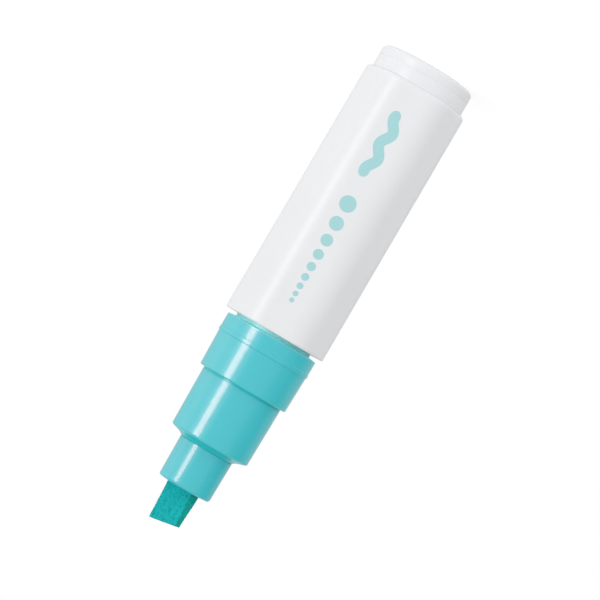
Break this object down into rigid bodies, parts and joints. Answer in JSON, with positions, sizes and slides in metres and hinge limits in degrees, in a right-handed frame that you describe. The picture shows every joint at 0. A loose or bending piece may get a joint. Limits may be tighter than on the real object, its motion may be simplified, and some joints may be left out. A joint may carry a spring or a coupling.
{
  "type": "paint marker",
  "caption": "Broad chisel-nib paint marker, uncapped: rounded-hexagon barrel with a round tail stud, stepped front section, felt nib on a press-to-flow valve, loose mixing balls.",
  "frame": {"origin": "centre of the flat tail end, on which the marker stands with its nib up", "axes": "+Z along the marker's axis from the tail to the nib; a flat of the barrel, the one with the printed mark, faces -Y; +X to the right of that flat"},
  "size_m": [0.0272, 0.0254, 0.1286],
  "materials": {
    "barrel_plastic": "glossy white moulded plastic",
    "front_plastic": "glossy turquoise moulded plastic",
    "nib_felt": "felt soaked with turquoise paint",
    "valve_plastic": "natural moulded plastic",
    "seal_rubber": "black rubber",
    "steel": "bright stainless steel"
  },
  "bodies": {
    "body": {"barrel": "barrel_plastic", "tail_plug": "barrel_plastic", "front_section": "front_plastic", "nib_holder": "front_plastic", "valve_body": "valve_plastic", "valve_body_seal": "seal_rubber", "valve_seat": "seal_rubber", "valve_cage": "valve_plastic", "valve_spring": "steel"},
    "nib_and_stem": {"nib": "nib_felt", "valve_stem": "valve_plastic"},
    "ball_1": {"mixing_ball_1": "steel"},
    "ball_2": {"mixing_ball_2": "steel"}
  },
  "joints": [
    {"name": "nib_press", "type": "slide", "parent": "body", "child": "nib_and_stem", "axis": [0, 0, -1], "range_m": [0, 0.002], "stiffness_N_per_m": 500, "springref_m": -0.002, "deforming": ["valve_spring"]},
    {"name": "ball_1_slide", "type": "slide", "parent": "body", "child": "ball_1", "axis": [0, 0, 1], "range_m": [0, 0.058]},
    {"name": "ball_2_slide", "type": "slide", "parent": "body", "child": "ball_2", "axis": [0, 0, 1], "range_m": [0, 0.058]}
  ]
}
